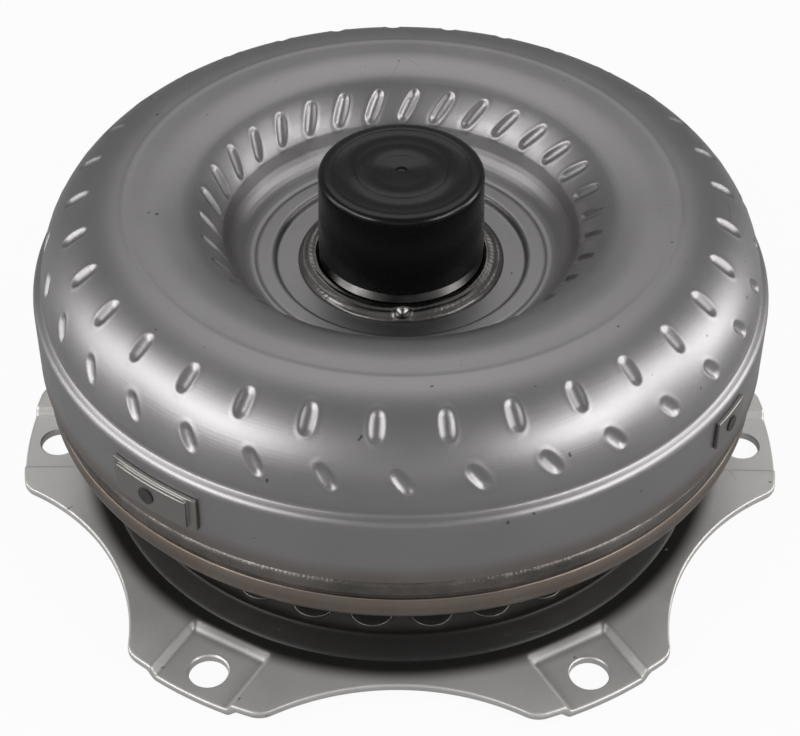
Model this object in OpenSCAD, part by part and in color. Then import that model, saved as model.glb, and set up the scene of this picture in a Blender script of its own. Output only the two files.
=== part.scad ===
// Torque converter: welded housing with a six-ear drive plate, impeller,
// turbine, stator with roller clutch, lock-up piston with spring damper,
// needle thrust bearings and a transport cap over the hub journal.
// Millimetres. +Z runs along the rotation axis towards the cap; z = 0 is the
// engine-side face of the six ear pads. "Front" is the engine side.

/* [Housing] */
// Wall of the impeller shell
shell_wall = 3.2; // [2.8:0.1:3.2]
// Thickness of the drive plate
plate_t = 3; // [2.6:0.1:3]
// Diameter of the six ear holes
ear_hole_d = 14.5; // [12:0.5:16]
// Bolt circle diameter of the six ear holes
ear_pcd = 275.2; // [272:0.4:278]
// Number of round pads pressed on the plate's raised ring
disc_count = 30; // [20:1:30]

/* [Hydraulic wheels] */
// Number of impeller blades
blades_imp = 33; // [25:1:33]
// Number of turbine blades
blades_tur = 31; // [23:1:31]
// Number of stator vanes
vanes = 17; // [13:1:19]
// Blade sheet thickness
blade_t = 1; // [0.8:0.1:1.2]

/* [Cap] */
// Inside radius of the transport cap's skirt
cap_in = 29.3; // [29.2:0.05:29.4]

/* [Hidden] */
$fn = 96;
NODES = ["front_cover","pilot_boss","drive_plate","plate_pads","plate_weld","impeller_shell",
 "rim_weld","hub_weld","impeller_hub","impeller_blades","impeller_core_ring","balance_weights",
 "weight_welds","turbine_shell","turbine_blades","turbine_core_ring","turbine_hub",
 "turbine_rivets","turbine_thrust_race","piston_seal","damper_output_plate",
 "damper_plate_front","damper_plate_rear","damper_rivets","damper_springs","lockup_piston",
 "friction_lining","piston_tabs","stator_wheel","stator_outer_race","stator_rollers",
 "roller_springs","stator_retainers","stator_inner_race","rear_cage","rear_needles","mid_cage",
 "mid_needles","front_cage","front_needles","transport_cap"];
node = "all";

// ---- helpers; every profile is a list of [radius, z] ----
// points on an arc, angles from start to end
function arc(center, radius, start, end, steps) = [for (i = [0:steps])
  let (a = start + (end - start) * i / steps) center + radius * [cos(a), sin(a)]];
module rev(profile) { rotate_extrude() polygon(profile); }
module ring(inner, outer, z0, z1) {
  translate([0, 0, z0]) difference() {
    cylinder(r = outer, h = z1 - z0);
    translate([0, 0, -1]) cylinder(r = inner, h = z1 - z0 + 2);
  }
}
// copies evenly spaced about the axis
module around(count, start = 0) {
  for (k = [0:count - 1]) rotate(start + k * 360 / count) children();
}
// radial block, centred on the X axis in plan
module bar(x0, x1, width, z0, z1) {
  translate([x0, -width / 2, z0]) cube([x1 - x0, width, z1 - z0]);
}

// ---- front cover and drive plate ----
cover_z = 16;      // where cover, boss and plate meet
rim_r = 133.4;     // inside of the shell skirt
rim_z = [58.8, 69]; // cover shoulder and shell edge, either end of the rim weld
module front_cover() {
  color([0.40, 0.39, 0.38]) rev([[0, cover_z], [88, cover_z], [130.5, 46], [134.8, 52],
    [134.8, rim_z[0]], [133.35, rim_z[0]], [133.35, 74], [129.9, 74], [129.9, 56],
    [126.8, 49.5], [86.5, 20], [0, 20]]);
}
module pilot_boss() {
  color([0.62, 0.62, 0.62]) rev([[0, 2], [18.5, 2], [20, 3.5], [20, cover_z], [0, cover_z]]);
}

plate_r = 150;
scallop_r = 90.7;      // edge arcs between the ears
scallop_dist = 218.7;  // their centres from the axis
corner_r = 9;          // corner radius of the ears, in plan
corner_dist = plate_r - corner_r;
corner_ang = acos((pow(corner_dist, 2) + scallop_dist * scallop_dist
  - pow(scallop_r + corner_r, 2)) / (2 * corner_dist * scallop_dist));
ear_rim_z = 6.3;       // top of the plate's outer rim
// sharp tip cut off to round an ear corner
module ear_corner() {
  fillet = corner_dist * [cos(corner_ang), sin(corner_ang)];
  toward = [scallop_dist, 0] - fillet;
  tip_r = plate_r + 2;
  difference() {
    polygon([fillet, tip_r * [cos(corner_ang), sin(corner_ang)],
      tip_r * [cos(corner_ang - 6), sin(corner_ang - 6)],
      fillet + toward / norm(toward) * (corner_r + 1.5)]);
    translate(fillet) circle(r = corner_r);
  }
}
module plate_outline() {
  difference() {
    circle(r = plate_r);
    around(6, 30) {
      translate([scallop_dist, 0]) circle(r = scallop_r);
      ear_corner();
      mirror([0, 1]) ear_corner();
    }
  }
}
// block widening upwards; side_run and inner_run are the slopes' runs per 3.3 of rise
module ear_wedge(half_width, inner, outer, base_z, height, side_run, inner_run, length) {
  top_z = base_z + height;
  top_half = half_width + height * side_run / 3.3;
  intersection() {
    translate([105, 0, 0]) rotate([90, 0, 90]) linear_extrude(length)
      polygon([[-half_width, base_z], [half_width, base_z],
        [top_half, top_z], [-top_half, top_z]]);
    translate([0, 30, 0]) rotate([90, 0, 0]) linear_extrude(60)
      polygon([[inner, base_z], [outer, base_z], [outer, top_z],
        [inner - height * inner_run / 3.3, top_z]]);
  }
}
// its sloping sides form the underside of the pressed pocket
module ear_block() {
  ear_wedge(half_width = 15.5, inner = 124, outer = 154, base_z = 0, height = 5,
    side_run = 3.5, inner_run = 4, length = 50);
}
// space above the pocket floor
module ear_void() {
  ear_wedge(half_width = 14.2, inner = 124.5, outer = 164, base_z = plate_t, height = 4.2,
    side_run = 3.6, inner_run = 3, length = 60);
}
module drive_plate() {
  ring_under = cover_z - plate_t;
  color([0.66, 0.66, 0.65]) difference() {
    intersection() {
      union() {
        rev([[40, ring_under], [40, cover_z], [113, cover_z], [114.5, 14.5],
          [116.2, ear_rim_z], [156, ear_rim_z], [156, ear_rim_z - plate_t],
          [113.2, ear_rim_z - plate_t], [111.2, ring_under]]);
        around(6) ear_block();
      }
      translate([0, 0, -1]) linear_extrude(20) plate_outline();
    }
    around(6) {
      ear_void();
      translate([ear_pcd / 2, 0, -1]) cylinder(d = ear_hole_d, h = 10);
    }
  }
}
module plate_pads() {
  color([0.5, 0.49, 0.47]) around(disc_count, 0.5) translate([102, 0, cover_z]) difference() {
    cylinder(r = 8, h = 1.2);
    translate([0, 0, 0.8]) cylinder(r = 5.4, h = 1);
  }
}
module plate_weld() {
  color([0.45, 0.43, 0.42]) rev([[88.6, cover_z], [92, cover_z], [91, 17.6], [89.7, 17]]);
}

// ---- impeller ----
shell_c_out = [101.5, 97.9]; // centre of the section's arc at larger radius
shell_c_in = [93, 97.9];     // centre of the arc nearer the axis
shell_arc_r = 31.7;          // both arcs, at the outside face
skirt_r = 136.6;             // outside of the shell skirt
hub_seat_z = 99.4;
journal_r = 28.5;
dimple_count = 33;
// ball cutting 0.7 into the shell's outside, at arc angle section_ang
module dimple(turn, center, section_ang, radius) {
  at = center + (shell_arc_r + radius) * [cos(section_ang), sin(section_ang)];
  rotate([0, 0, turn - 90]) translate([at[0], 0, at[1]]) sphere(r = radius + 0.7);
}
module impeller_shell() {
  inside_r = shell_arc_r - shell_wall;
  color([0.47, 0.46, 0.46]) difference() {
    rev(concat([[37.05, hub_seat_z], [37.05, 94.5], [52, 94.5], [57.2, 96.6], [62.3, 100.2]],
      arc(shell_c_in, inside_r, 150, 90, 8), arc(shell_c_out, inside_r, 90, 0, 12),
      [[130, 95.2], [132.6, 93.6], [rim_r, 91.6], [rim_r, rim_z[1]], [skirt_r, rim_z[1]],
        [skirt_r, 94.6], [136.1, 96.2], [134.9, 97.3]],
      arc(shell_c_out, shell_arc_r, 0, 90, 16), arc(shell_c_in, shell_arc_r, 90, 150, 10),
      [[63.6, 109], [61, 105], [58, 102.4], [55.6, 101.3], [54.4, 101.3], [53.8, 101.9],
        [47.4, 101.9], [46.4, hub_seat_z]]));
    around(dimple_count) {
      dimple(-3.61, shell_c_out, 58, 7);
      dimple(0.36, shell_c_out, 24, 6);
      dimple(3.26, shell_c_in, 140, 6);
    }
  }
}
module rim_weld() {
  color([0.5, 0.44, 0.38]) rev([[rim_r, rim_z[0]], [134, rim_z[0]], [134, 60.7],
    [135.5, 62.5], [135.5, 65.3], [134, 67.1], [134, rim_z[1]], [rim_r, rim_z[1]]]);
}
module hub_weld() {
  color([0.6, 0.6, 0.6]) rev([[30.55, hub_seat_z], [38.3, hub_seat_z], [38.1, 100.4],
    [37, 101.4], [35, 102.3], [32.6, 102.7], [30.55, 102.3]]);
}
module impeller_hub() {
  color([0.72, 0.71, 0.7]) difference() {
    rev([[24, 94.5], [37, 94.5], [37, hub_seat_z], [30.5, hub_seat_z], [30.5, 102.6],
      [journal_r, 104.7], [journal_r, 135.6], [27.3, 136.8], [24, 136.8]]);
    around(2) bar(20, 32, 9, 125.8, 137.8);
  }
}

core_imp = [97.5, 93]; // centre of the impeller core ring's section
core_tur = [97.5, 91];
core_r = 13;
core_inside_r = 11.6;
blade_core_r = 13.5;   // blades stop clear of the core ring
lean_r = 95;           // radius about which blades lean
module blades(profile, count, lean) {
  around(count) translate([lean_r, 0, 0]) rotate([0, 0, lean])
    translate([-lean_r, blade_t / 2, 0]) rotate([90, 0, 0]) linear_extrude(blade_t)
      polygon(profile);
}
module impeller_blades() {
  edge_r = 28.1;
  color([0.6, 0.58, 0.55]) blades(concat(arc(shell_c_out, edge_r, 0, 90, 10),
    arc(shell_c_in, edge_r, 90, 168.5, 8), arc(core_imp, blade_core_r, 128.94, 0, 12),
    [[shell_c_out[0] + edge_r, core_imp[1]]]), blades_imp, 7);
}
module impeller_core_ring() {
  color([0.62, 0.6, 0.55]) rev(concat(arc(core_imp, core_r, 0, 180, 16),
    arc(core_imp, core_inside_r, 180, 0, 16)));
}

weight_r = [skirt_r, 138.2, 139.6]; // faces of the stacked weight layers
// part of a ring between two angles
module band(start, end, inner, outer, z0, z1) {
  intersection() {
    ring(inner, outer, z0, z1);
    translate([0, 0, z0 - 1]) linear_extrude(z1 - z0 + 2)
      polygon(concat([[0, 0]], arc([0, 0], 170, start, end, 6)));
  }
}
module balance_weights() {
  color([0.5, 0.49, 0.47]) {
    band(-135.2, -119.6, weight_r[0], weight_r[1], 76.5, 90.5);
    band(-133.8, -121, weight_r[1], weight_r[2], 77.5, 89.5);
    band(-36.8, -29, weight_r[0], weight_r[1], 80, 92);
  }
}
// round spot 0.5 high on a weight's outer face
module weld_spot(angle, face_r, z0, z1, radius) {
  intersection() {
    ring(face_r, face_r + 0.5, z0, z1);
    rotate(angle) translate([120, 0, (z0 + z1) / 2]) rotate([0, 90, 0])
      cylinder(r = radius, h = 40);
  }
}
module weight_welds() {
  color([0.38, 0.37, 0.36]) {
    weld_spot(-128, weight_r[2], 78, 89, 3.2);
    weld_spot(-33, weight_r[1], 80, 92, 3);
  }
}

// ---- turbine ----
tur_c_out = [99.5, 86.6]; // section arc centres, as for the impeller
tur_c_in = [93, 86.6];
tur_r = 28.5;
tur_inside_r = tur_r - 2;
flange_z = [72, 76, 78];  // hub flange front, flange-shell joint, shell rear
hub_r = 30;
rivet_r = 2.5;
rivet_hole_r = 2.55;
module turbine_rivet_places() { around(12) translate([56.5, 0, 0]) children(); }
module turbine_rivet_holes() {
  turbine_rivet_places() translate([0, 0, 70]) cylinder(r = rivet_hole_r, h = 12);
}
module turbine_shell() {
  color([0.58, 0.57, 0.55]) difference() {
    rev(concat([[tur_c_out[0] + tur_r, core_tur[1]]], arc(tur_c_out, tur_r, 0, -90, 12),
      arc(tur_c_in, tur_r, -90, -150, 8),
      [[60, flange_z[1]], [40, flange_z[1]], [40, flange_z[2]], [60.8, flange_z[2]]],
      arc(tur_c_in, tur_inside_r, -150, -90, 8), arc(tur_c_out, tur_inside_r, -90, 0, 12),
      [[tur_c_out[0] + tur_inside_r, core_tur[1]]]));
    turbine_rivet_holes();
  }
}
module turbine_blades() {
  edge_r = 25.9;
  color([0.6, 0.58, 0.55]) blades(concat([[tur_c_out[0] + edge_r, core_tur[1]]],
    arc(tur_c_out, edge_r, 0, -90, 10), arc(tur_c_in, edge_r, -90, -166.3, 8),
    arc(core_tur, blade_core_r, -128.94, 0, 12)), blades_tur, -7);
}
module turbine_core_ring() {
  color([0.62, 0.6, 0.55]) rev(concat(arc(core_tur, core_r, 0, -180, 16),
    arc(core_tur, core_inside_r, -180, 0, 16)));
}
module turbine_hub() {
  color([0.7, 0.7, 0.69]) difference() {
    rev([[13, 22.5], [hub_r, 22.5], [hub_r, 26], [28, 26], [28, 28], [hub_r, 28],
      [hub_r, flange_z[0]], [60, flange_z[0]], [60, flange_z[1]], [hub_r, flange_z[1]],
      [hub_r, 79], [29, 80], [13, 80]]);
    around(24) bar(12, 14.2, 1.6, 20, 82);
    turbine_rivet_holes();
  }
}
module turbine_rivets() {
  color([0.5, 0.5, 0.5]) turbine_rivet_places() rev([[0, 70.4], [2.4, 70.4], [3.3, 71.2],
    [3.3, flange_z[0]], [rivet_r, flange_z[0]], [rivet_r, flange_z[2]], [3.3, flange_z[2]],
    [3.3, 78.8], [2.4, 79.6], [0, 79.6]]);
}
module turbine_thrust_race() { color([0.75, 0.75, 0.75]) ring(40.5, 52, flange_z[2], 80.5); }
module piston_seal() { color([0.12, 0.12, 0.12]) ring(28.05, 29.98, 26.05, 27.95); }

// ---- damper ----
front_z = [34, 36.5]; // faces of the front plate
rear_z = [47.5, 50];
spring_len = 42.8;
module windows(inner, outer, z0, z1) { around(6) bar(inner, outer, 43.2, z0, z1); }
module damper_rivet_hole(z) { translate([91.5, 0, z]) cylinder(r = rivet_hole_r, h = 5); }
module damper_output_plate() {
  color([0.55, 0.54, 0.53]) difference() {
    ring(30.02, 86, 40, 44);
    windows(66.5, 83.5, 39, 45);
    around(6, 30) translate([48, 0, 39]) cylinder(r = 7, h = 6);
  }
}
module damper_plate_front() {
  color([0.52, 0.51, 0.5]) difference() {
    ring(57, 98, front_z[0], front_z[1]);
    windows(67.5, 82.5, 33, 38);
    around(6, 30) {
      damper_rivet_hole(33);
      bar(62.1, 65.3, 10.2, 33, 38); // slot for a piston tab
    }
  }
}
module damper_plate_rear() {
  color([0.52, 0.51, 0.5]) difference() {
    ring(57, 98, rear_z[0], rear_z[1]);
    windows(67.5, 82.5, 46.5, 51.5);
    around(6, 30) damper_rivet_hole(46);
  }
}
module damper_rivets() {
  color([0.48, 0.48, 0.48]) around(6, 30) translate([91.5, 0, 0])
    rev([[0, 32.4], [3.4, 32.4], [3.8, 33], [3.8, front_z[0]], [rivet_r, front_z[0]],
      [rivet_r, front_z[1]], [3.9, front_z[1]], [3.9, rear_z[0]], [rivet_r, rear_z[0]],
      [rivet_r, rear_z[1]], [3.8, rear_z[1]], [3.8, 51], [3.4, 51.6], [0, 51.6]]);
}
// wire coil along +Z; steps are per turn, sides are of the wire's section
module coil(turns, radius, wire_r, length, steps, sides) {
  last = turns * steps;
  points = [for (i = [0:last]) for (j = [0:sides - 1])
    let (t = 360 * i / steps, a = 360 * j / sides, reach = radius + wire_r * cos(a),
      z = wire_r + (length - 2 * wire_r) * i / last)
    [reach * cos(t), reach * sin(t), z + wire_r * sin(a)]];
  faces = concat([[for (j = [sides - 1:-1:0]) j]], [[for (j = [0:sides - 1]) last * sides + j]],
    [for (i = [0:last - 1]) for (j = [0:sides - 1])
      [i * sides + j, i * sides + (j + 1) % sides, (i + 1) * sides + (j + 1) % sides]],
    [for (i = [0:last - 1]) for (j = [0:sides - 1])
      [i * sides + j, (i + 1) * sides + (j + 1) % sides, (i + 1) * sides + j]]);
  polyhedron(points, faces);
}
module damper_springs() {
  color([0.35, 0.36, 0.4]) around(6) translate([75, spring_len / 2, 42]) rotate([90, 0, 0])
    coil(turns = 8, radius = 5.9, wire_r = 1.25, length = spring_len, steps = 14, sides = 6);
}

// ---- lock-up piston ----
piston_z = [22.4, 25.2]; // front and rear faces of the disc
module lockup_piston() {
  color([0.6, 0.59, 0.57]) rev([[30.05, 23.5], [33, piston_z[0]], [86, piston_z[0]],
    [87.2, 23.6], [87.2, 30], [84.6, 30], [84.6, piston_z[1]], [36, piston_z[1]],
    [34, 27], [34, 31], [30.05, 31]]);
}
module friction_lining() {
  color([0.25, 0.2, 0.15]) difference() {
    ring(62, 84, 21, piston_z[0]);
    around(24) bar(60, 86, 1.6, 20.5, 21.5);
  }
}
module piston_tabs() {
  color([0.55, 0.54, 0.53]) around(6, 30) {
    bar(62.2, 65.2, 10, piston_z[1], 38.5);
    bar(62.2, 70.2, 16, piston_z[1], 27.2);
  }
}

// ---- stator and roller clutch ----
clutch_r = 39.95;
clutch_z = [83, 84, 91, 92]; // outer and inner faces of the two retainers
// vane section [x, y], before its 35 degree twist
vane_section = [[-6.5, 0.2], [-5.6, 1.6], [-3, 2.6], [0, 2.5], [3.5, 1.5], [6.8, -0.6],
  [6.8, -1], [3, -0.4], [0, -0.3], [-3.2, -0.8], [-5.6, -1.2], [-6.4, -0.8]];
module stator_wheel() {
  color([0.74, 0.74, 0.75]) {
    ring(40, 58, clutch_z[0], clutch_z[3]);
    rev([[81, 84], [83.6, 84], [83.6, 96.5], [81, 96.5]]);
    intersection() {
      ring(57.5, 81.5, 80, 100);
      around(vanes) translate([55, 0, 90.2]) rotate([0, 90, 0]) rotate(35)
        linear_extrude(30) polygon(vane_section);
    }
  }
}
module stator_outer_race() {
  color([0.5, 0.5, 0.52]) difference() {
    ring(34.15, clutch_r, clutch_z[1], clutch_z[2]);
    around(10) translate([32.3, 0, 83]) cylinder(r = 3.5, h = 9);
  }
}
module stator_rollers() {
  color([0.8, 0.8, 0.8]) around(10) translate([31.1, 0, 84.2]) cylinder(r = 3, h = 6.6);
}
function zigzag(x, order) = [for (i = order) [x + (i % 2 == 0 ? -1.6 : 1.6), -4.5 + i * 1.4]];
module roller_springs() {
  color([0.6, 0.6, 0.5]) around(10, 20) translate([0, 0, 85.5]) linear_extrude(4)
    polygon(concat(zigzag(31, [0:6]), zigzag(31.5, [6:-1:0])));
}
module stator_retainers() {
  color([0.55, 0.55, 0.56]) {
    ring(28.1, clutch_r, clutch_z[0], clutch_z[1]);
    ring(28.1, clutch_r, clutch_z[2], clutch_z[3]);
  }
}
module stator_inner_race() {
  color([0.68, 0.68, 0.7]) difference() {
    ring(19.5, 28, 82, 93);
    around(30) bar(18.5, 20.9, 1.8, 81, 94);
  }
}

// ---- thrust bearings: [inner radius, outer radius, middle z, needle count] ----
rear_brg = [41, 49.5, 93.25, 36];
mid_brg = [41, 51, 81.75, 36];
front_brg = [18, 29, 21.25, 24];
module cage(brg) {
  color([0.7, 0.6, 0.35]) difference() {
    ring(brg[0], brg[1], brg[2] - 0.5, brg[2] + 0.5);
    around(brg[3]) bar(brg[0] + 1.4, brg[1] - 1.4, 2.5, brg[2] - 1, brg[2] + 1);
  }
}
module needles(brg) {
  color([0.82, 0.82, 0.84]) around(brg[3]) translate([brg[0] + 1.5, 0, brg[2]])
    rotate([0, 90, 0]) cylinder(r = 1.2, h = brg[1] - brg[0] - 3);
}
module rear_cage() { cage(rear_brg); }
module rear_needles() { needles(rear_brg); }
module mid_cage() { cage(mid_brg); }
module mid_needles() { needles(mid_brg); }
module front_cage() { cage(front_brg); }
module front_needles() { needles(front_brg); }

// ---- transport cap ----
module transport_cap() {
  color([0.1, 0.1, 0.1]) {
    rev([[cap_in, 106.2], [30.6, 106.2], [30.6, 107.4], [30.1, 135.4], [29.9, 137.6],
      [29.2, 138.9], [28, 139.6], [25, 139.6], [24.6, 139.3], [17, 139.3], [16.6, 139.6],
      [9, 139.6], [8.6, 139.3], [2.2, 139.3], [1.6, 138.6], [0, 138.6], [0, 137.4],
      [28.4, 137.4], [cap_in, 136.4]]);
    around(6, 30) bar(29.08, cap_in + 0.3, 1.2, 127.4, 135.4); // ribs inside the skirt
  }
}

function on(name) = node == "all" || node == name;
if (on("front_cover")) front_cover();
if (on("pilot_boss")) pilot_boss();
if (on("drive_plate")) drive_plate();
if (on("plate_pads")) plate_pads();
if (on("plate_weld")) plate_weld();
if (on("impeller_shell")) impeller_shell();
if (on("rim_weld")) rim_weld();
if (on("hub_weld")) hub_weld();
if (on("impeller_hub")) impeller_hub();
if (on("impeller_blades")) impeller_blades();
if (on("impeller_core_ring")) impeller_core_ring();
if (on("balance_weights")) balance_weights();
if (on("weight_welds")) weight_welds();
if (on("turbine_shell")) turbine_shell();
if (on("turbine_blades")) turbine_blades();
if (on("turbine_core_ring")) turbine_core_ring();
if (on("turbine_hub")) turbine_hub();
if (on("turbine_rivets")) turbine_rivets();
if (on("turbine_thrust_race")) turbine_thrust_race();
if (on("piston_seal")) piston_seal();
if (on("damper_output_plate")) damper_output_plate();
if (on("damper_plate_front")) damper_plate_front();
if (on("damper_plate_rear")) damper_plate_rear();
if (on("damper_rivets")) damper_rivets();
if (on("damper_springs")) damper_springs();
if (on("lockup_piston")) lockup_piston();
if (on("friction_lining")) friction_lining();
if (on("piston_tabs")) piston_tabs();
if (on("stator_wheel")) stator_wheel();
if (on("stator_outer_race")) stator_outer_race();
if (on("stator_rollers")) stator_rollers();
if (on("roller_springs")) roller_springs();
if (on("stator_retainers")) stator_retainers();
if (on("stator_inner_race")) stator_inner_race();
if (on("rear_cage")) rear_cage();
if (on("rear_needles")) rear_needles();
if (on("mid_cage")) mid_cage();
if (on("mid_needles")) mid_needles();
if (on("front_cage")) front_cage();
if (on("front_needles")) front_needles();
if (on("transport_cap")) transport_cap();
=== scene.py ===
"""A torque converter lying flat, its axis on Z.

The eared drive plate and the front cover are at the bottom; the impeller shell, its hub and the
black transport cap are at the top. Sections and sizes are in mm, the scene is in metres.
"""

import math
from functools import cached_property

import bpy
import bmesh
import numpy as np
from mathutils import Matrix, Vector


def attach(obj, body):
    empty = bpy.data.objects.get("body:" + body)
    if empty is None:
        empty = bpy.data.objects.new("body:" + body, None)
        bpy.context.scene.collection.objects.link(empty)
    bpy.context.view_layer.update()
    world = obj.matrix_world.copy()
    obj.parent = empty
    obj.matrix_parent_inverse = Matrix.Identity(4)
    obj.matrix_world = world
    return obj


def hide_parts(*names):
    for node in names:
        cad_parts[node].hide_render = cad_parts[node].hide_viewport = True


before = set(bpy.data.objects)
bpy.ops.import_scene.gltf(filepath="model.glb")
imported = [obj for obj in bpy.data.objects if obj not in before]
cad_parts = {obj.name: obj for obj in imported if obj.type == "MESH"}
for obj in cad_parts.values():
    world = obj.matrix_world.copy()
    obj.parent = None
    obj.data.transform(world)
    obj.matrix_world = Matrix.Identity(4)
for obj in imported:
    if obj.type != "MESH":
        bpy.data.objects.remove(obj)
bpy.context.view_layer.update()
MM = 0.001
scene = bpy.context.scene


# ---------------------------------------------------------------- shader helpers
WHITE = (1, 1, 1)
BLACK = (0, 0, 0)


def linear(colour):
    """sRGB 0-255 to linear RGB."""
    return [((v / 255 + 0.055) / 1.055) ** 2.4 if v > 10 else v / 255 / 12.92 for v in colour]


def scaled(colour, factor):
    return [v * factor for v in colour]


def feed(tree, socket, value):
    """Link an output to a socket, or set the socket to a number or an RGB colour."""
    if isinstance(value, bpy.types.NodeSocket):
        tree.links.new(value, socket)
    elif isinstance(value, (int, float)):
        socket.default_value = value
    else:
        socket.default_value = (*value, 1)


def calc(tree, operation, *values):
    node = tree.nodes.new("ShaderNodeMath")
    node.operation = operation
    for socket, value in zip(node.inputs, values):
        feed(tree, socket, value)
    return node.outputs[0]


def noise(tree, vector, scale, detail):
    node = tree.nodes.new("ShaderNodeTexNoise")
    node.inputs["Scale"].default_value = scale
    node.inputs["Detail"].default_value = detail
    node.inputs["Roughness"].default_value = 0.55
    tree.links.new(vector, node.inputs["Vector"])
    return node.outputs["Fac"]


def ramp(tree, factor, stops):
    """Colour ramp; stops are (position, RGB)."""
    node = tree.nodes.new("ShaderNodeValToRGB")
    elements = node.color_ramp.elements
    while len(elements) > 1:
        elements.remove(elements[-1])
    elements[0].position = stops[0][0]
    elements[0].color = (*stops[0][1], 1)
    for position, colour in stops[1:]:
        elements.new(position).color = (*colour, 1)
    tree.links.new(factor, node.inputs[0])
    return node.outputs[0]


def mix(tree, factor, first, second, mode="MIX"):
    node = tree.nodes.new("ShaderNodeMix")
    node.data_type = "RGBA"
    node.blend_type = mode
    # 0 is the factor; 6 and 7 are the colour pair
    for index, value in ((0, factor), (6, first), (7, second)):
        feed(tree, node.inputs[index], value)
    return node.outputs[2]


def band(tree, value, centre, half, soft):
    """1 within half of the centre, falling smoothly to 0 over soft."""
    distance = calc(tree, "ABSOLUTE", calc(tree, "SUBTRACT", value, centre))
    node = tree.nodes.new("ShaderNodeMapRange")
    node.interpolation_type = "SMOOTHSTEP"
    # inputs 1 to 4: from min, from max, to min, to max
    for index, limit in enumerate((half, half + soft, 1, 0), start=1):
        node.inputs[index].default_value = limit
    tree.links.new(distance, node.inputs[0])
    return node.outputs[0]


def new_material(name):
    material = bpy.data.materials.new(name)
    material.use_nodes = True
    tree = material.node_tree
    tree.nodes.clear()
    output = tree.nodes.new("ShaderNodeOutputMaterial")
    return material, tree, output


def new_principled(name):
    material, tree, output = new_material(name)
    bsdf = tree.nodes.new("ShaderNodeBsdfPrincipled")
    tree.links.new(bsdf.outputs[0], output.inputs[0])
    return material, tree, bsdf


def vary_roughness(tree, bsdf, pattern, middle, spread):
    varied = calc(tree, "MULTIPLY", pattern, spread)
    feed(tree, bsdf.inputs["Roughness"], calc(tree, "ADD", varied, middle - spread / 2))


def add_bump(tree, bsdf, height, strength, distance):
    node = tree.nodes.new("ShaderNodeBump")
    node.inputs["Strength"].default_value = strength
    node.inputs["Distance"].default_value = distance
    tree.links.new(height, node.inputs["Height"])
    tree.links.new(node.outputs[0], bsdf.inputs["Normal"])


class Place:
    """Object-space coordinates; each node is made when it is first asked for."""

    def __init__(self, tree):
        self.tree = tree
        self.position = tree.nodes.new("ShaderNodeTexCoord").outputs["Object"]

    @cached_property
    def axes(self):
        node = self.tree.nodes.new("ShaderNodeSeparateXYZ")
        self.tree.links.new(self.position, node.inputs[0])
        return node.outputs

    @cached_property
    def height(self):
        """z in mm"""
        return calc(self.tree, "MULTIPLY", self.axes[2], 1000)

    @cached_property
    def radius(self):
        """distance from the Z axis in mm"""
        x_squared = calc(self.tree, "MULTIPLY", self.axes[0], self.axes[0])
        y_squared = calc(self.tree, "MULTIPLY", self.axes[1], self.axes[1])
        metres = calc(self.tree, "SQRT", calc(self.tree, "ADD", x_squared, y_squared))
        return calc(self.tree, "MULTIPLY", metres, 1000)

    @cached_property
    def azimuth(self):
        return calc(self.tree, "ARCTAN2", self.axes[1], self.axes[0])


# ---------------------------------------------------------------- materials
def add_scratches(tree, position, colour, base):
    """Thin dark lines in patches, and small dark spots."""
    stretch = tree.nodes.new("ShaderNodeVectorMath")
    stretch.operation = "MULTIPLY"
    stretch.inputs[1].default_value = (1, 0.35, 1.6)
    tree.links.new(position, stretch.inputs[0])
    cells = tree.nodes.new("ShaderNodeTexVoronoi")
    cells.feature = "DISTANCE_TO_EDGE"
    cells.inputs["Scale"].default_value = 26
    tree.links.new(stretch.outputs[0], cells.inputs["Vector"])
    line = ramp(tree, cells.outputs[0], [(0.0, WHITE), (0.006, BLACK)])
    patch_noise = noise(tree, position, scale=22, detail=2)
    patch = ramp(tree, patch_noise, [(0.62, BLACK), (0.72, WHITE)])
    scratch = mix(tree, 1.0, line, patch, "MULTIPLY")
    colour = mix(tree, scratch, colour, scaled(base, 0.45))
    spot_noise = noise(tree, position, scale=260, detail=1)
    spots = ramp(tree, spot_noise, [(0.785, BLACK), (0.81, WHITE)])
    return mix(tree, spots, colour, scaled(base, 0.4))


def spun_relief(tree, place, grain):
    """Noise drawn out around the axis, with some of the fine grain."""
    stretched = tree.nodes.new("ShaderNodeCombineXYZ")
    scales = ((place.radius, 2.2), (place.height, 2.2), (place.azimuth, 0.8))
    for socket, (value, scale) in zip(stretched.inputs, scales):
        tree.links.new(calc(tree, "MULTIPLY", value, scale), socket)
    rings = noise(tree, stretched.outputs[0], scale=1.0, detail=4)
    return calc(tree, "ADD", rings, calc(tree, "MULTIPLY", grain, 0.35))


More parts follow.
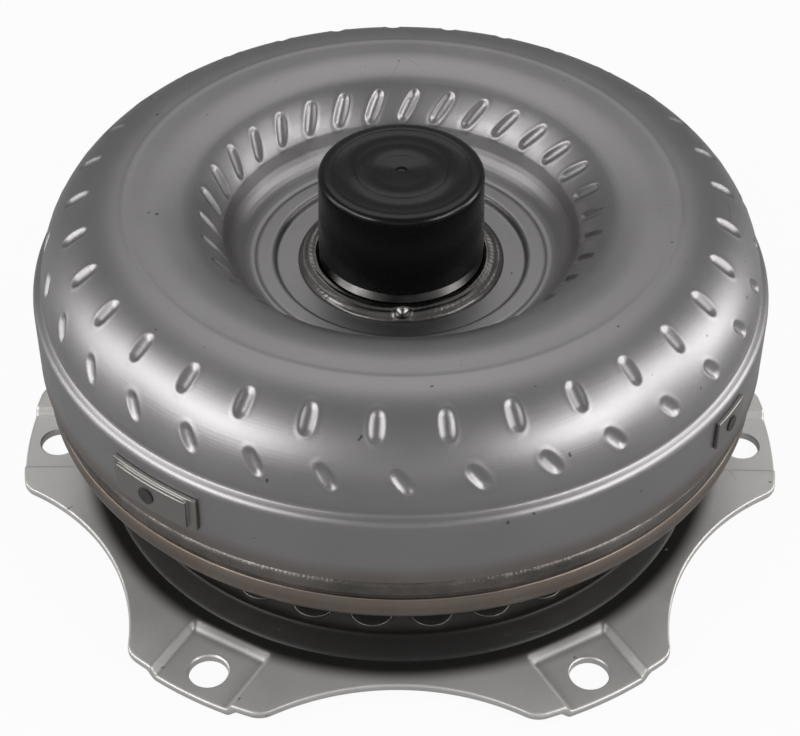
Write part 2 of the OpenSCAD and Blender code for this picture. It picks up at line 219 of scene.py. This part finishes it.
def steel(name, colour, roughness, metallic=1.0, mottle=0.03, bump=0.08, spun=False,
          height_tints_and_shade=(), radius_painted_shade=(), scratches=True):
    """Mottled metal. Tints are (centre, half width, soft edge, colour, amount), in mm; some
    height bands are heat tint, others painted shade, and the radius bands are painted shade.
    """
    material, tree, bsdf = new_principled(name)
    place = Place(tree)
    base = linear(colour)
    broad = noise(tree, place.position, scale=38, detail=5)
    grain = noise(tree, place.position, scale=420, detail=3)
    shade = mix(tree, ramp(tree, broad, [(0.3, WHITE), (0.7, BLACK)]),
                scaled(base, 1 + mottle), scaled(base, 1 - mottle * 1.6))
    # height bands: the brown ones are heat tint by the welds, the dark ones are painted shade
    for centre, half, soft, tint, amount in height_tints_and_shade:
        strength = calc(tree, "MULTIPLY", band(tree, place.height, centre, half, soft), amount)
        uneven = noise(tree, place.position, scale=30, detail=3)
        uneven = calc(tree, "ADD", calc(tree, "MULTIPLY", uneven, 0.9), 0.45)
        strength = calc(tree, "MULTIPLY", strength, uneven)
        shade = mix(tree, calc(tree, "MINIMUM", strength, 1.0), shade, linear(tint))
    # radius bands: painted shade on the plate, under the cover and in the step's shadow
    for centre, half, soft, tint, amount in radius_painted_shade:
        strength = calc(tree, "MULTIPLY", band(tree, place.radius, centre, half, soft), amount)
        shade = mix(tree, strength, shade, linear(tint))
    if scratches:
        shade = add_scratches(tree, place.position, shade, base)
    feed(tree, bsdf.inputs["Base Color"], shade)
    bsdf.inputs["Metallic"].default_value = metallic
    vary_roughness(tree, bsdf, broad, middle=roughness, spread=0.06)
    relief = spun_relief(tree, place, grain) if spun else grain
    add_bump(tree, bsdf, relief, strength=bump, distance=0.0004)
    return material


def nonmetal(name, colour, roughness, coat=0.0, bump=0.0, scale=300, specular=0.5):
    """Plastic, paper or rubber with fine noise."""
    material, tree, bsdf = new_principled(name)
    base = linear(colour)
    grain = noise(tree, Place(tree).position, scale=scale, detail=3)
    shade = mix(tree, grain, scaled(base, 0.85), scaled(base, 1.15))
    feed(tree, bsdf.inputs["Base Color"], shade)
    bsdf.inputs["Specular IOR Level"].default_value = specular
    vary_roughness(tree, bsdf, grain, middle=roughness, spread=0.1)
    if coat:
        bsdf.inputs["Coat Weight"].default_value = coat
        bsdf.inputs["Coat Roughness"].default_value = 0.08
    if bump:
        add_bump(tree, bsdf, grain, strength=bump, distance=0.0003)
    return material


BROWN = (112, 96, 84)
# painted shade: dark colour for the cover's lower wall, shaded by the rim above it
COVER_PAINTED_SHADE = (60, 56, 54)
MATERIALS = {
    "shell": steel("pressed_steel_shell", (150, 148, 149), roughness=0.43, spun=True,
                   height_tints_and_shade=[(69, 2, 8, BROWN, 0.6)]),
    # the dark band low on the cover wall is painted shade under the rim; the brown band is heat
    # tint by the seam
    "cover": steel("pressed_steel_cover", (152, 145, 138), roughness=0.40,
                   height_tints_and_shade=[(58, 3, 6, BROWN, 0.6), (34, 12, 12, COVER_PAINTED_SHADE, 0.85)]),
    # both radius bands are painted shade: under the cover's wall, and darker still in the shadow
    # at the step
    "plate": steel("pressed_steel_plate", (204, 202, 199), roughness=0.44, metallic=0.58,
                   bump=0.16, mottle=0.05,
                   radius_painted_shade=[(96, 17, 3, (80, 75, 70), 0.9),
                                 (117.0, 3.5, 8, (20, 18, 17), 0.97)]),
    "seam": steel("weld_seam", (112, 108, 104), roughness=0.40, bump=0.6, mottle=0.3,
                  scratches=False),
    "hub_weld": steel("weld_hub", (128, 126, 124), roughness=0.30, bump=0.3, mottle=0.3,
                      scratches=False),
    "pads": steel("pressed_pads", (120, 116, 112), roughness=0.5),
    "weights": steel("balance_steel", (140, 138, 134), roughness=0.38, bump=0.3),
    "spot": steel("spot_weld", (86, 84, 82), roughness=0.5, bump=0.8, scratches=False),
    "ground": steel("ground_steel", (200, 199, 197), roughness=0.24, mottle=0.04, bump=0.06,
                    scratches=False),
    # the near-black band on the journal is painted shade in the gap between the hub bead and the
    # cap
    "journal": steel("ground_journal", (190, 189, 187), roughness=0.26, mottle=0.04, bump=0.06,
                     height_tints_and_shade=[(100, 6.8, 1.2, (24, 22, 20), 0.97)], scratches=False),
    "blade": steel("blade_sheet", (176, 170, 160), roughness=0.4, scratches=False),
    "aluminium": steel("cast_aluminium", (205, 205, 207), roughness=0.45, bump=0.5,
                       scratches=False),
    "brass": steel("cage_brass", (190, 160, 98), roughness=0.35, scratches=False),
    "spring": steel("spring_steel", (108, 110, 120), roughness=0.35, scratches=False),
    "lining": nonmetal("friction_paper", (78, 62, 46), roughness=0.85, bump=0.7, scale=700),
    "cap": nonmetal("black_plastic", (5, 5, 5), roughness=0.26, coat=0.05, bump=0.12,
                    scale=500, specular=0.3),
    "rubber": nonmetal("seal_rubber", (22, 22, 22), roughness=0.6),
}


# ---------------------------------------------------------------- mesh helpers
def add_object(name, mesh):
    obj = bpy.data.objects.new(name, mesh)
    scene.collection.objects.link(obj)
    return obj


def shade_smooth(mesh, sharp_angle):
    mesh.polygons.foreach_set("use_smooth", [True] * len(mesh.polygons))
    mesh.set_sharp_from_angle(angle=math.radians(sharp_angle))


def fix_normals(mesh, weld=False):
    """Turn the faces outwards, after merging coincident vertices if asked."""
    bm = bmesh.new()
    bm.from_mesh(mesh)
    if weld:
        bmesh.ops.remove_doubles(bm, verts=bm.verts, dist=1e-6)
    bmesh.ops.recalc_face_normals(bm, faces=bm.faces)
    bm.to_mesh(mesh)
    bm.free()


def make_ring(name, radii, heights, azimuths, material, body, node, sharp_angle):
    """Closed section swept round Z: section points down the rows, azimuths along them."""
    radii, heights, azimuths = np.broadcast_arrays(radii, heights, azimuths)
    rows, columns = radii.shape
    verts = np.stack([radii * np.cos(azimuths) * MM, radii * np.sin(azimuths) * MM,
                      heights * MM], -1).reshape(-1, 3)
    on_axis = radii.max(axis=1) < 1e-6
    row = np.arange(rows)
    row = row[~(on_axis & np.roll(on_axis, -1))][:, None]
    column = np.arange(columns)[None, :]
    next_row = (row + 1) % rows
    next_column = (column + 1) % columns
    faces = np.stack([row * columns + column, row * columns + next_column,
                      next_row * columns + next_column, next_row * columns + column], -1)

    mesh = bpy.data.meshes.new(name)
    mesh.from_pydata(verts.tolist(), [], faces.reshape(-1, 4).tolist())
    mesh.validate()
    fix_normals(mesh)
    obj = add_object(name, mesh)
    mesh.materials.append(MATERIALS[material])
    shade_smooth(mesh, sharp_angle)
    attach(obj, body)
    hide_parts(node)
    if on_axis.any():
        fix_normals(mesh, weld=True)
        shade_smooth(mesh, sharp_angle)
    return obj


def full_turn(count):
    return np.arange(count) * 2 * math.pi / count


def lathe(name, section, count, material, body, node, sharp_angle, displace=None):
    """Turn a closed section of (radius, height); displace returns new radii and heights."""
    section = np.array(section, float)
    radii, heights = section[:, :1], section[:, 1:]
    azimuths = full_turn(count)
    if displace:
        radii, heights = displace(radii, heights, azimuths)
    make_ring(name, radii, heights, azimuths, material, body, node, sharp_angle)


def arc(centre, radius, start, end, steps):
    """Points on an arc, angles in degrees."""
    angles = [math.radians(start + (end - start) * i / steps) for i in range(steps + 1)]
    return [(centre[0] + radius * math.cos(a), centre[1] + radius * math.sin(a)) for a in angles]


def subdivide(points, step):
    """Open polyline with no segment longer than step."""
    fine = []
    for start, end in zip(points[:-1], points[1:]):
        start, end = np.array(start, float), np.array(end, float)
        parts = max(1, int(math.ceil(np.linalg.norm(end - start) / step)))
        fine += [start + (end - start) * i / parts for i in range(parts)]
    fine.append(np.array(points[-1], float))
    return np.array(fine)


def smoothstep(x):
    x = np.clip(x, 0, 1)
    return x * x * (3 - 2 * x)


# ---------------------------------------------------------------- impeller shell
WALL = 3.2
BOWL_RADIUS = 31.7
BOWL_INSIDE = BOWL_RADIUS - WALL
OUTER_ARC = (101.5, 97.9)            # centres of the bowl's two arcs: radius, height
INNER_ARC = (93.0, 97.9)
RIM_RADIUS = 136.6

# radius, height: from the hub over the bowl and down to the rim
SHELL_OUTSIDE = [
    (37.05, 99.4), (45.8, 99.4), (46.3, 99.65), (46.8, 100.8), (47.4, 101.6), (48.2, 101.9),
    (53.0, 101.9), (53.8, 101.7), (54.3, 101.35), (55.0, 101.25), (56.2, 101.5), (58.0, 102.4),
    (59.6, 103.6), (61.0, 105.0), (62.4, 106.9), (63.6, 109.0), (64.6, 111.4),
    *arc(INNER_ARC, BOWL_RADIUS, 150, 90, 24), *arc(OUTER_ARC, BOWL_RADIUS, 90, 3, 36),
    (133.25, 98.9), (133.6, 98.1), (134.4, 97.5), (135.4, 96.9), (136.1, 96.1), (136.5, 95.2),
    (RIM_RADIUS, 94.2), (RIM_RADIUS, 69.6), (136.2, 69),
]
# radius, height: from the rim back to the hub
SHELL_INSIDE = [
    (RIM_RADIUS - WALL, 69), (RIM_RADIUS - WALL, 91.6), (132.6, 93.6), (130, 95.2),
    *arc(OUTER_ARC, BOWL_INSIDE, 0, 90, 12), *arc(INNER_ARC, BOWL_INSIDE, 90, 150, 8),
    (62.3, 100.2), (57.2, 96.6), (52, 94.5), (37.05, 94.5),
]

DIMPLES = 33                         # in each of the three rows round the shell
STEPS_PER_DIMPLE = 40
LIP_WIDTH, LIP_HEIGHT = 1.6, 0.10
# arc centre, angle on the arc, first azimuth (from -Y towards +X), half length, half width,
# slant, depth; angles in degrees
DIMPLE_ROWS = [
    (OUTER_ARC, 57, -3.61, 6.0, 2.9, 0.0, 1.1),
    (OUTER_ARC, 24, 0.36, 5.5, 2.8, -38.0, 1.1),
    (INNER_ARC, 137, 3.26, 7.2, 2.5, 26.0, 1.15),
]
# arc centre, angle on the arc, height, width of the raised ring
SHELL_RIDGES = [(OUTER_ARC, 91, 0.16, 1.3), (INNER_ARC, 119, 0.55, 5.5)]


def dimple_relief(across, along, half_length, half_width, depth):
    """Hollow with a faint raised lip, halfway between a capsule and an ellipse in outline."""
    straight = half_length - half_width
    past_straight = along - np.clip(along, -straight, straight)
    capsule = np.sqrt(across ** 2 + past_straight ** 2)
    ellipse = half_width * np.sqrt((across / half_width) ** 2 + (along / half_length) ** 2)
    distance = 0.45 * capsule + 0.55 * ellipse
    inside = np.clip(distance / half_width, 0, 1)
    lip = np.clip((distance - half_width) / LIP_WIDTH, -1, 1)
    return LIP_HEIGHT * (1 - lip ** 2) ** 2 - depth * (1 - inside ** 2) ** 1.3


def build_shell():
    outside = subdivide(SHELL_OUTSIDE, 0.62)
    tangent = np.gradient(outside, axis=0)
    tangent /= np.linalg.norm(tangent, axis=1)[:, None]
    normal = np.stack([-tangent[:, 1], tangent[:, 0]], 1)
    lengths = np.linalg.norm(np.diff(outside, axis=0), axis=1)
    travel = np.concatenate([[0], np.cumsum(lengths)])     # along the section from the hub
    azimuths = full_turn(DIMPLES * STEPS_PER_DIMPLE)

    def travel_at(centre, angle):
        point = arc(centre, BOWL_RADIUS, angle, angle, 1)[0]
        return travel[np.argmin(((outside - point) ** 2).sum(1))]

    relief = np.zeros((len(outside), len(azimuths)))
    pitch = 2 * math.pi / DIMPLES
    for centre, angle, first, half_length, half_width, slant, depth in DIMPLE_ROWS:
        start = math.radians(-90 + first)
        turn = (azimuths - start + pitch / 2) % pitch - pitch / 2
        around = outside[:, :1] * turn
        outwards = (travel - travel_at(centre, angle))[:, None]
        cos, sin = math.cos(math.radians(slant)), math.sin(math.radians(slant))
        relief += dimple_relief(around * cos + outwards * sin, outwards * cos - around * sin,
                                half_length, half_width, depth)

    # slight waviness over the bowl
    wave = 0.6 * (0.06 * np.sin(3 * azimuths + 0.6) + 0.04 * np.sin(7 * azimuths + 2.1))
    free = (travel > travel_at(INNER_ARC, 120)) & (travel < travel_at(OUTER_ARC, 8))
    relief += wave * free[:, None]
    for centre, angle, height, width in SHELL_RIDGES:
        offset = (travel - travel_at(centre, angle)) / width
        relief += height * np.exp(-offset ** 2)[:, None]

    radii = np.minimum(outside[:, :1] + normal[:, :1] * relief, RIM_RADIUS)
    heights = outside[:, 1:] + normal[:, 1:] * relief
    inside = np.repeat(np.array(SHELL_INSIDE, float)[:, :, None], len(azimuths), 2)
    make_ring("shell_pressed", np.concatenate([radii, inside[:, 0]]),
              np.concatenate([heights, inside[:, 1]]), azimuths,
              "shell", "housing", "impeller_shell", sharp_angle=50)


# ---------------------------------------------------------------- front cover
# radius, height: along the underside and up the wall, then back along the inside
COVER_SECTION = [
    (0, 16), (86, 16), (88.5, 16.5), (92, 18.9), (129.2, 45.2), (132.4, 48.2), (134.1, 50.8),
    (134.8, 53.6), (134.8, 58.2), (134.3, 58.8), (133.35, 58.8), (133.35, 74), (129.9, 74),
    (129.9, 56), (126.8, 49.5), (88, 21.2), (84, 20), (0, 20),
]


def build_cover():
    section = subdivide(COVER_SECTION + COVER_SECTION[:1], 6)[:-1]
    lathe("cover_pressed", section, 384, "cover", "housing", "front_cover", sharp_angle=50)


# ---------------------------------------------------------------- weld beads
# radius, height: bead between the cover and the shell, from the bottom up
SEAM_SECTION = [
    (133.4, 58.8), (133.9, 58.8), (134.0, 60.4), (134.6, 61), (135.2, 61.9), (135.5, 62.9),
    (135.55, 63.9), (135.5, 64.9), (135.2, 65.9), (134.6, 66.8), (134.0, 67.4), (134.0, 69),
    (133.4, 69),
]
# radius, height: bead round the hub, from the inside outwards
HUB_BEAD_SECTION = [
    (30.55, 99.4), (30.55, 101.8), (30.9, 102.4), (31.8, 102.75), (33.4, 102.65), (35.2, 102.2),
    (36.8, 101.4), (37.8, 100.6), (38.25, 99.9), (38.3, 99.4),
]
HUB_BEAD_BASE = 99.8                 # the bead is rippled above this height
CRATER_RADIUS = 35.2                 # place of the one crater in the hub bead
CRATER_AZIMUTH = math.radians(-89)


def ripple_seam(radii, heights, azimuths):
    exposed = (radii > 134.05) & (heights > 60.5) & (heights < 67.5)
    ripple = (0.03 * np.sin(azimuths * 520) + 0.05 * np.sin(azimuths * 61 + 1)
              + 0.03 * np.sin(azimuths * 143))
    return radii + np.where(exposed, ripple, 0), heights


def ripple_hub_bead(radii, heights, azimuths):
    phase = azimuths * 46 + (radii - 34) * 0.8 + 0.7 * np.sin(azimuths * 5)
    ripple = (0.06 * np.abs(np.sin(phase)) + 0.14 * np.sin(azimuths * 5 + 1.2)
              + 0.10 * np.sin(azimuths * 13 + radii * 0.5)
              + 0.12 * np.sin(radii * 2.6 + azimuths * 2))
    fade = np.clip((heights - HUB_BEAD_BASE) / 1.6, 0, 1)
    turn = azimuths - CRATER_AZIMUTH
    around = np.arctan2(np.sin(turn), np.cos(turn)) * radii
    outwards = radii - CRATER_RADIUS
    crater = 1.2 * np.exp(-(around ** 2 + outwards ** 2) / 2.2)
    crater_rim = 0.55 * np.exp(-((np.hypot(around, outwards) - 2.8) ** 2) / 1.2)
    lift = (ripple - 0.25) * fade - crater + crater_rim
    return radii, heights + np.where(heights > HUB_BEAD_BASE, lift, 0)


def build_weld_beads():
    lathe("seam_bead", subdivide(SEAM_SECTION, 0.6), 2400, "seam", "housing", "rim_weld",
          sharp_angle=70, displace=ripple_seam)
    lathe("hub_bead", subdivide(HUB_BEAD_SECTION, 0.35), 1500, "hub_weld", "housing", "hub_weld",
          sharp_angle=70, displace=ripple_hub_bead)


# ---------------------------------------------------------------- transport cap
# radius, height: up the outer wall, across the top to the axis, then back underneath
CAP_SECTION = [
    (29.3, 106.2), (30.3, 106.2), (30.6, 106.6), (30.6, 107.4), (30.25, 129.4), (30.1, 135.4),
    *arc((27.9, 137.1), 2.3, 8, 80, 8),
    (27.6, 139.55), (25.3, 139.55), (24.9, 139.4), (24.7, 139.3), (17, 139.3), (16.7, 139.45),
    (16.3, 139.55), (9.3, 139.55), (8.9, 139.4), (8.6, 139.3), (2.6, 139.3), (2.2, 139.2),
    (1.7, 138.7), (1.2, 138.6), (0, 138.6), (0, 137.4), (28.4, 137.4), (29.3, 136.4),
]


def build_cap():
    lathe("cap_moulding", CAP_SECTION, 256, "cap", "cap", "transport_cap", sharp_angle=45)


# ---------------------------------------------------------------- drive plate
EARS = 6
EAR_PITCH = 360 / EARS               # degrees; the first ear is on +X
EAR_RADIUS = 150
SCALLOP_RADIUS = 90.7                # hollow arcs between the ears
SCALLOP_CENTRE = 218.7               # their distance from the axis
CORNER_RADIUS = 9.0                  # rounds each ear into its scallops
PLATE_STEPS = 1440
SHAPED_FROM = 120                    # rows beyond this radius follow the plate's edge
ROUND_RADII = [40, 41, 60, 80, 95, 106, 109, *np.arange(110, SHAPED_FROM + 0.1, 0.5)]
STEP_DROP, STEP_RUN = 9.7, 5.0       # the plate steps down towards its edge
FLAT_DROP = 3.3                      # further drop to the flat on each ear
# Flats: half width, blend at the sides, distance from the axis, blend at the inner end
TOP_FACE = dict(level=16, step_radius=112.2, flat=(17.9, 3.1, 120.8, 3.8))
BOTTOM_FACE = dict(level=13, step_radius=110.0, flat=(19.8, 4.4, 115.6, 5.0))
HOLE_CIRCLE = 137.6
HOLE_STEPS = 72
HOLE_LEVELS = [(-1.5, 7.25), (2.55, 7.25), (3.6, 8.3), (6, 8.3)]   # height, radius


def plate_edge(azimuth):
    """Radius of the plate's edge: scallop, corner, then ear."""
    turn = np.radians(np.abs(azimuth % EAR_PITCH - EAR_PITCH / 2))    # from a scallop's middle
    corner = EAR_RADIUS - CORNER_RADIUS
    reach = SCALLOP_RADIUS + CORNER_RADIUS
    corner_turn = math.acos((corner ** 2 + SCALLOP_CENTRE ** 2 - reach ** 2)
                            / (2 * corner * SCALLOP_CENTRE))
    centre = corner * np.array([math.cos(corner_turn), math.sin(corner_turn)])
    tangent = centre + (np.array([SCALLOP_CENTRE, 0]) - centre) * CORNER_RADIUS / reach
    tangent_turn = math.atan2(tangent[1], tangent[0])

    scallop_chord = SCALLOP_RADIUS ** 2 - (SCALLOP_CENTRE * np.sin(turn)) ** 2
    scallop = SCALLOP_CENTRE * np.cos(turn) - np.sqrt(np.maximum(scallop_chord, 0))
    past = corner_turn - turn
    corner_chord = CORNER_RADIUS ** 2 - (corner * np.sin(past)) ** 2
    rounded = corner * np.cos(past) + np.sqrt(np.maximum(corner_chord, 0))
    return np.where(turn < tangent_turn, scallop,
                    np.where(turn < corner_turn, rounded, float(EAR_RADIUS)))


def pressed_height(radius, ear_turn, level, step_radius, flat):
    half_width, side_blend, flat_start, end_blend = flat
    along, across = radius * np.cos(ear_turn), np.abs(radius * np.sin(ear_turn))
    on_flat = (smoothstep((half_width - across) / side_blend)
               * smoothstep((along - flat_start) / end_blend))
    step = smoothstep((radius - step_radius) / STEP_RUN)
    return level - STEP_DROP * step - FLAT_DROP * on_flat


def edge_rounding(inset, radius):
    """Depth of a rounded edge at a distance in from it."""
    past = np.clip(radius - inset, 0, radius)
    return radius - np.sqrt(np.maximum(radius ** 2 - past ** 2, 0))


def drive_plate_blank():
    azimuth = np.arange(PLATE_STEPS) * 360.0 / PLATE_STEPS
    edge = plate_edge(azimuth)
    ear_turn = np.radians((azimuth + EAR_PITCH / 2) % EAR_PITCH - EAR_PITCH / 2)
    # rows crowd together towards the edge
    fractions = 1 - (1 - np.linspace(0, 1, 46)[1:]) ** 1.35
    rows = [np.full(PLATE_STEPS, radius, float) for radius in ROUND_RADII]
    rows += [SHAPED_FROM + (edge - SHAPED_FROM) * fraction for fraction in fractions]
    top, bottom = [], []
    for radius in rows:
        # about nine slight waves a turn
        wave = 0.05 * np.sin(azimuth / 57.3 * 9 + radius * 0.11) * (radius > 118)
        upper = pressed_height(radius, ear_turn, **TOP_FACE) + wave
        upper = upper - edge_rounding(edge - radius, 1.0)
        lower = pressed_height(radius, ear_turn, **BOTTOM_FACE)
        lower = lower + edge_rounding(edge - radius, 0.6)
        top.append(upper)
        bottom.append(np.minimum(lower, upper - 0.6))
    return make_ring("plate_pressed", np.array(rows + rows[::-1]), np.array(top + bottom[::-1]),
                     np.radians(azimuth), "plate", "housing", "drive_plate", sharp_angle=50)


def hole_cutter():
    """One plug per ear, wider at the top."""
    verts, faces = [], []
    turns = [2 * math.pi * i / HOLE_STEPS for i in range(HOLE_STEPS)]
    for ear in range(EARS):
        azimuth = math.radians(EAR_PITCH * ear)
        x, y = HOLE_CIRCLE * math.cos(azimuth), HOLE_CIRCLE * math.sin(azimuth)
        rings = []
        for z, radius in HOLE_LEVELS:
            rings.append(range(len(verts), len(verts) + HOLE_STEPS))
            verts += [((x + radius * math.cos(turn)) * MM, (y + radius * math.sin(turn)) * MM,
                       z * MM) for turn in turns]
        for lower, upper in zip(rings, rings[1:]):
            for i in range(HOLE_STEPS):
                j = (i + 1) % HOLE_STEPS
                faces.append((lower[i], lower[j], upper[j], upper[i]))
        faces += [tuple(reversed(rings[0])), tuple(rings[-1])]
    mesh = bpy.data.meshes.new("cutter")
    mesh.from_pydata(verts, [], faces)
    return add_object("cutter", mesh)


def build_drive_plate():
    plate = drive_plate_blank()
    cutter = hole_cutter()
    boolean = plate.modifiers.new("holes", "BOOLEAN")
    boolean.operation = "DIFFERENCE"
    boolean.object = cutter
    boolean.solver = "MANIFOLD"
    bpy.context.view_layer.update()
    depsgraph = bpy.context.evaluated_depsgraph_get()
    drilled = bpy.data.meshes.new_from_object(plate.evaluated_get(depsgraph))
    plate.modifiers.clear()
    plate.data = drilled
    drilled.set_sharp_from_angle(angle=math.radians(38))
    # the boolean may hand back a mesh without its material slot
    if not drilled.materials:
        drilled.materials.append(MATERIALS["plate"])
    bpy.data.objects.remove(cutter)


# ---------------------------------------------------------------- pieces from the CAD
def soften_cad(node, name, material, bevel_width):
    """Copy of a CAD piece with its edges broken; the width is in metres."""
    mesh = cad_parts[node].data.copy()
    mesh.name = name
    bm = bmesh.new()
    bm.from_mesh(mesh)
    bmesh.ops.remove_doubles(bm, verts=bm.verts, dist=2e-6)
    bmesh.ops.dissolve_limit(bm, angle_limit=math.radians(0.5), verts=bm.verts, edges=bm.edges)
    bm.to_mesh(mesh)
    bm.free()
    obj = add_object(name, mesh)
    mesh.materials.clear()
    mesh.materials.append(MATERIALS[material])
    if "custom_normal" in mesh.attributes:
        mesh.attributes.remove(mesh.attributes["custom_normal"])
    bevel = obj.modifiers.new("edge", "BEVEL")
    bevel.width = bevel_width
    bevel.segments = 2
    bevel.limit_method = "ANGLE"
    bevel.angle_limit = math.radians(28)
    bevel.harden_normals = False
    shade_smooth(mesh, 38)
    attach(obj, "housing")
    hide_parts(node)


# pieces used as they are, each with its material
KEPT = {
    "weight_welds": "spot", "plate_weld": "spot", "pilot_boss": "ground",
    "impeller_hub": "journal", "impeller_blades": "blade", "impeller_core_ring": "blade",
    "turbine_shell": "blade", "turbine_blades": "blade", "turbine_core_ring": "blade",
    "turbine_hub": "ground", "turbine_rivets": "ground", "turbine_thrust_race": "ground",
    "piston_seal": "rubber", "damper_output_plate": "weights", "damper_plate_front": "weights",
    "damper_plate_rear": "weights", "damper_rivets": "ground", "damper_springs": "spring",
    "lockup_piston": "weights", "friction_lining": "lining", "piston_tabs": "weights",
    "stator_wheel": "aluminium", "stator_outer_race": "ground", "stator_rollers": "ground",
    "roller_springs": "spring", "stator_retainers": "weights", "stator_inner_race": "ground",
    "rear_cage": "brass", "rear_needles": "ground", "mid_cage": "brass",
    "mid_needles": "ground", "front_cage": "brass", "front_needles": "ground",
}


def paint_kept():
    for node, material in KEPT.items():
        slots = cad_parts[node].data.materials
        slots.clear()
        slots.append(MATERIALS[material])


# ---------------------------------------------------------------- floor, light, camera
def floor_material():
    """White to the camera, grey to other rays, clear from below and to short other rays."""
    material, tree, output = new_material("floor_white")
    grey = tree.nodes.new("ShaderNodeBsdfDiffuse")
    grey.inputs[0].default_value = (0.42, 0.42, 0.42, 1)
    glow = tree.nodes.new("ShaderNodeEmission")
    glow.inputs[0].default_value = (1, 1, 1, 1)
    glow.inputs[1].default_value = 1.04
    clear = tree.nodes.new("ShaderNodeBsdfTransparent")

    def blend(factor, first, second):
        node = tree.nodes.new("ShaderNodeMixShader")
        for socket, value in zip(node.inputs, (factor, first.outputs[0], second.outputs[0])):
            tree.links.new(value, socket)
        return node

    camera_ray = tree.nodes.new("ShaderNodeLightPath").outputs["Is Camera Ray"]
    surface = blend(calc(tree, "MULTIPLY", camera_ray, 0.90), grey, glow)
    path = tree.nodes.new("ShaderNodeLightPath").outputs
    below = tree.nodes.new("ShaderNodeNewGeometry").outputs["Backfacing"]
    short = calc(tree, "MULTIPLY", calc(tree, "LESS_THAN", path["Ray Length"], 0.018),
                 calc(tree, "SUBTRACT", 1.0, path["Is Camera Ray"]))
    result = blend(calc(tree, "MAXIMUM", below, short), surface, clear)
    tree.links.new(result.outputs[0], output.inputs[0])
    return material


def build_floor():
    half, z = 6, -0.0002             # metres
    corners = [(-half, -half, z), (half, -half, z), (half, half, z), (-half, half, z)]
    mesh = bpy.data.meshes.new("floor")
    mesh.from_pydata(corners, [], [(0, 1, 2, 3)])
    floor = add_object("floor", mesh)
    mesh.materials.append(floor_material())


def build_world():
    """Even grey, slightly darker towards the top."""
    world = bpy.data.worlds.new("studio")
    scene.world = world
    world.use_nodes = True
    tree = world.node_tree
    tree.nodes.clear()
    output = tree.nodes.new("ShaderNodeOutputWorld")
    background = tree.nodes.new("ShaderNodeBackground")
    direction = tree.nodes.new("ShaderNodeTexCoord")
    split = tree.nodes.new("ShaderNodeSeparateXYZ")
    tree.links.new(direction.outputs["Generated"], split.inputs[0])
    grey = ramp(tree, split.outputs[2], [(0.0, (0.36, 0.36, 0.365)), (0.35, (0.36, 0.36, 0.363)),
                                         (1.0, (0.30, 0.30, 0.303))])
    tree.links.new(grey, background.inputs[0])
    background.inputs[1].default_value = 0.8
    tree.links.new(background.outputs[0], output.inputs[0])


# name, location, target, width, height (metres), power (watts)
LIGHTS = [
    ("key_left", (-0.95, -0.75, 0.75), (0, 0, 0.08), 0.7, 0.5, 7.4),
    ("key_right", (0.95, -0.70, 0.65), (0, 0, 0.08), 0.6, 0.45, 6.1),
    ("top", (0.0, 0.7, 1.2), (0, 0, 0.1), 1.0, 0.7, 2.6),
    ("front", (0.0, -1.6, 0.5), (0, 0, 0.03), 0.9, 0.4, 0.7),
    ("side_right", (1.3, 0.25, 0.35), (0.1, 0, 0.08), 0.5, 0.6, 5),
    ("side_left", (-1.3, 0.1, 0.40), (-0.15, 0, 0.06), 0.5, 0.6, 3.2),
    ("floor_left", (-0.75, -0.15, 0.55), (-0.42, -0.22, 0.0), 0.35, 0.35, 1.6),
    ("floor_right", (0.75, -0.15, 0.55), (0.42, -0.22, 0.0), 0.35, 0.35, 1.6),
]


def build_lights():
    for name, location, target, width, height, power in LIGHTS:
        light = bpy.data.lights.new(name, "AREA")
        light.shape = "RECTANGLE"
        light.size = width
        light.size_y = height
        light.energy = power
        obj = add_object(name, light)
        obj.location = location
        aim = Vector(target) - Vector(location)
        obj.rotation_euler = aim.to_track_quat("-Z", "Y").to_euler()


CAMERA_TARGET = Vector((-0.000174, 0, 0.04386))
CAMERA_DISTANCE = 0.8062
CAMERA_ELEVATION = math.radians(41.73)
CAMERA_ROLL = math.radians(0.3)


def build_camera():
    """Looks down from the -Y side."""
    camera = bpy.data.cameras.new("camera")
    obj = add_object("camera", camera)
    scene.camera = obj
    camera.sensor_fit = "HORIZONTAL"
    camera.sensor_width = 36.0
    camera.lens = 92.79
    camera.clip_start = 0.05
    cos, sin = math.cos(CAMERA_ELEVATION), math.sin(CAMERA_ELEVATION)
    right, up, back = Vector((1, 0, 0)), Vector((0, sin, cos)), Vector((0, -cos, sin))
    turn = Matrix((right, up, back)).transposed().to_4x4()
    place = Matrix.Translation(CAMERA_TARGET + back * CAMERA_DISTANCE)
    obj.matrix_world = place @ turn @ Matrix.Rotation(CAMERA_ROLL, 4, "Z")
    scene.view_settings.view_transform = "Standard"
    scene.view_settings.look = "None"


# ---------------------------------------------------------------- build
build_shell()
build_cover()
build_weld_beads()
build_cap()
build_drive_plate()
soften_cad("plate_pads", "plate_pads_soft", "pads", bevel_width=0.0004)
soften_cad("balance_weights", "balance_plates", "weights", bevel_width=0.00035)
paint_kept()
build_floor()
build_world()
build_lights()
build_camera()
